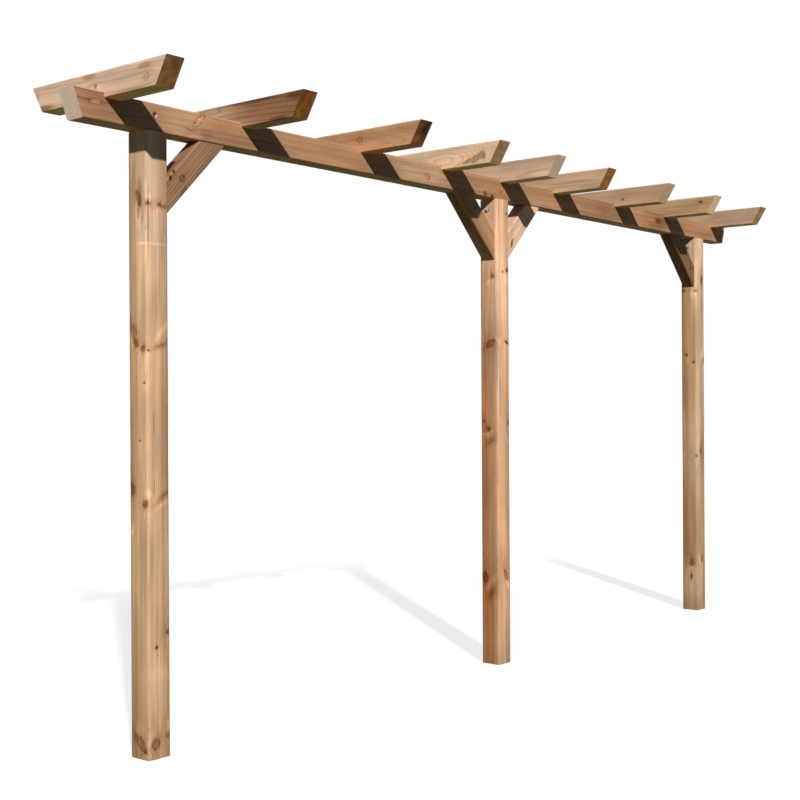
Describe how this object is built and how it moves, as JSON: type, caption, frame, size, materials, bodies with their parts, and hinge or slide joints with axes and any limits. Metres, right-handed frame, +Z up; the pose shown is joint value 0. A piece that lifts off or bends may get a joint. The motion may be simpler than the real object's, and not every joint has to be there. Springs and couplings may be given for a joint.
{
  "type": "timber pergola",
  "caption": "Open timber pergola: a row of square posts carries a long beam with knee braces, and short notched rafters with slanted ends lie across it.",
  "frame": {"origin": "centre of the middle post's foot, on the ground", "axes": "+X along the beam towards the far post, +Y along the rafters towards the back, +Z up"},
  "size_m": [4.608, 0.694, 2.267],
  "materials": {
    "timber": "planed, pressure treated, uncoated",
    "zinc": "zinc plated"
  },
  "bodies": {
    "root": {"beam": "timber", "beam_bolt": "zinc", "near_post": "timber", "near_post_screw": "zinc", "middle_post": "timber", "middle_post_screw": "zinc", "far_post": "timber", "far_post_screw": "zinc", "rafter_1": "timber", "rafter_2": "timber", "rafter_3": "timber", "rafter_4": "timber", "rafter_5": "timber", "rafter_6": "timber", "rafter_7": "timber", "rafter_8": "timber", "rafter_9": "timber", "near_post_brace": "timber", "middle_post_near_brace": "timber", "middle_post_far_brace": "timber", "far_post_brace": "timber"}
  },
  "joints": []
}
